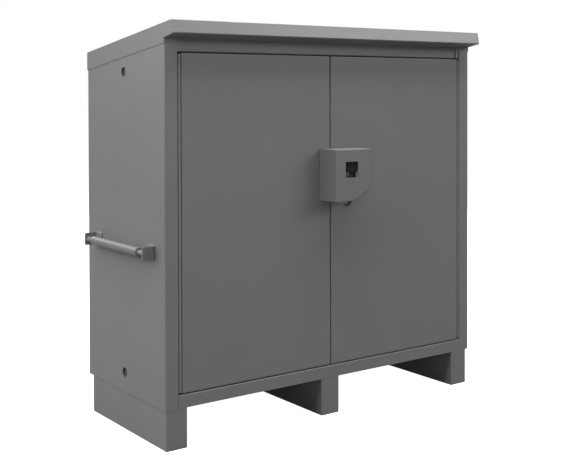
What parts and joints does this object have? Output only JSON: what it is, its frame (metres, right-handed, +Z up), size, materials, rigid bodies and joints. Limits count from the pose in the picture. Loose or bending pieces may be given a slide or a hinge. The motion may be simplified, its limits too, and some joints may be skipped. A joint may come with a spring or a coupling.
{
  "type": "battery box",
  "caption": "Free-standing sheet-steel battery cabinet with sloping roof and visor, inset double doors, shrouded padlock latch, side lift handles and fork-lift skids.",
  "frame": {"origin": "centre of the cabinet's footprint on the floor, on the underside of the centre skid", "axes": "+X to the right seen from the doors, +Y to the back (the doors face -Y), +Z up"},
  "size_m": [1.631, 0.734, 1.5395],
  "materials": {
    "painted_steel": "grey powder coat, fine texture, semi-matt",
    "plated_steel": "zinc-plated, satin",
    "black_steel": "black powder coat, semi-matt"
  },
  "bodies": {
    "cabinet": {"left_side_panel": "painted_steel", "right_side_panel": "painted_steel", "back_panel": "painted_steel", "floor_panel": "painted_steel", "roof_cap": "painted_steel", "header": "painted_steel", "sill": "painted_steel", "upper_door_stop": "painted_steel", "lower_door_stop": "painted_steel", "left_skid": "painted_steel", "centre_skid": "painted_steel", "right_skid": "painted_steel", "blanking_plugs": "painted_steel", "left_handle_brackets": "painted_steel", "right_handle_brackets": "painted_steel", "left_handle_rod": "painted_steel", "right_handle_rod": "painted_steel", "left_hinge_frame_leaf": "painted_steel", "right_hinge_frame_leaf": "painted_steel", "left_hinge_pin": "plated_steel", "right_hinge_pin": "plated_steel", "lower_shelf": "painted_steel", "upper_shelf": "painted_steel", "shelf_rails": "painted_steel", "shelf_bolts": "plated_steel", "shelf_nuts": "plated_steel"},
    "left_door_leaf": {"left_door": "painted_steel", "left_hinge_door_leaf": "painted_steel", "left_door_stiffener": "painted_steel", "astragal": "painted_steel"},
    "right_door_leaf": {"right_door": "painted_steel", "right_hinge_door_leaf": "painted_steel", "right_door_stiffener": "painted_steel", "lock_stile": "painted_steel", "lock_box": "painted_steel", "spindle_bush": "plated_steel", "rod_guides": "painted_steel", "padlock_staple": "painted_steel"},
    "latch": {"latch_lever": "black_steel", "latch_spindle": "plated_steel", "lever_washer": "plated_steel", "lever_nut": "plated_steel", "latch_cam": "plated_steel"},
    "upper_rod": {"upper_lock_rod": "plated_steel"},
    "lower_rod": {"lower_lock_rod": "plated_steel"},
    "left_grip": {"left_grip_sleeve": "painted_steel"},
    "right_grip": {"right_grip_sleeve": "painted_steel"}
  },
  "joints": [
    {"name": "right_door_hinge", "type": "hinge", "parent": "cabinet", "child": "right_door_leaf", "pos_m": [0.6998, -0.309, 0.81225], "axis": [0, 0, 1], "range_deg": [0, 105]},
    {"name": "left_door_hinge", "type": "hinge", "parent": "cabinet", "child": "left_door_leaf", "pos_m": [-0.6998, -0.309, 0.81225], "axis": [0, 0, -1], "range_deg": [0, 105]},
    {"name": "latch_turn", "type": "hinge", "parent": "right_door_leaf", "child": "latch", "pos_m": [0.077, -0.3, 0.953], "axis": [0, 1, 0], "range_deg": [0, 60]},
    {"name": "upper_rod_slide", "type": "slide", "parent": "right_door_leaf", "child": "upper_rod", "axis": [0, 0, 1], "range_m": [0, 0.032]},
    {"name": "lower_rod_slide", "type": "slide", "parent": "right_door_leaf", "child": "lower_rod", "axis": [0, 0, -1], "range_m": [0, 0.032]},
    {"name": "left_grip_spin", "type": "hinge", "parent": "cabinet", "child": "left_grip", "pos_m": [-0.799, 0, 0.704], "axis": [0, 1, 0], "continuous": true},
    {"name": "right_grip_spin", "type": "hinge", "parent": "cabinet", "child": "right_grip", "pos_m": [0.799, 0, 0.704], "axis": [0, 1, 0], "continuous": true}
  ],
  "couplings": [
    {"joint": "left_door_hinge", "follows": "right_door_hinge", "ratio": 1},
    {"joint": "upper_rod_slide", "follows": "latch_turn", "m_per_rad": 0.030557},
    {"joint": "lower_rod_slide", "follows": "latch_turn", "m_per_rad": 0.030557}
  ]
}
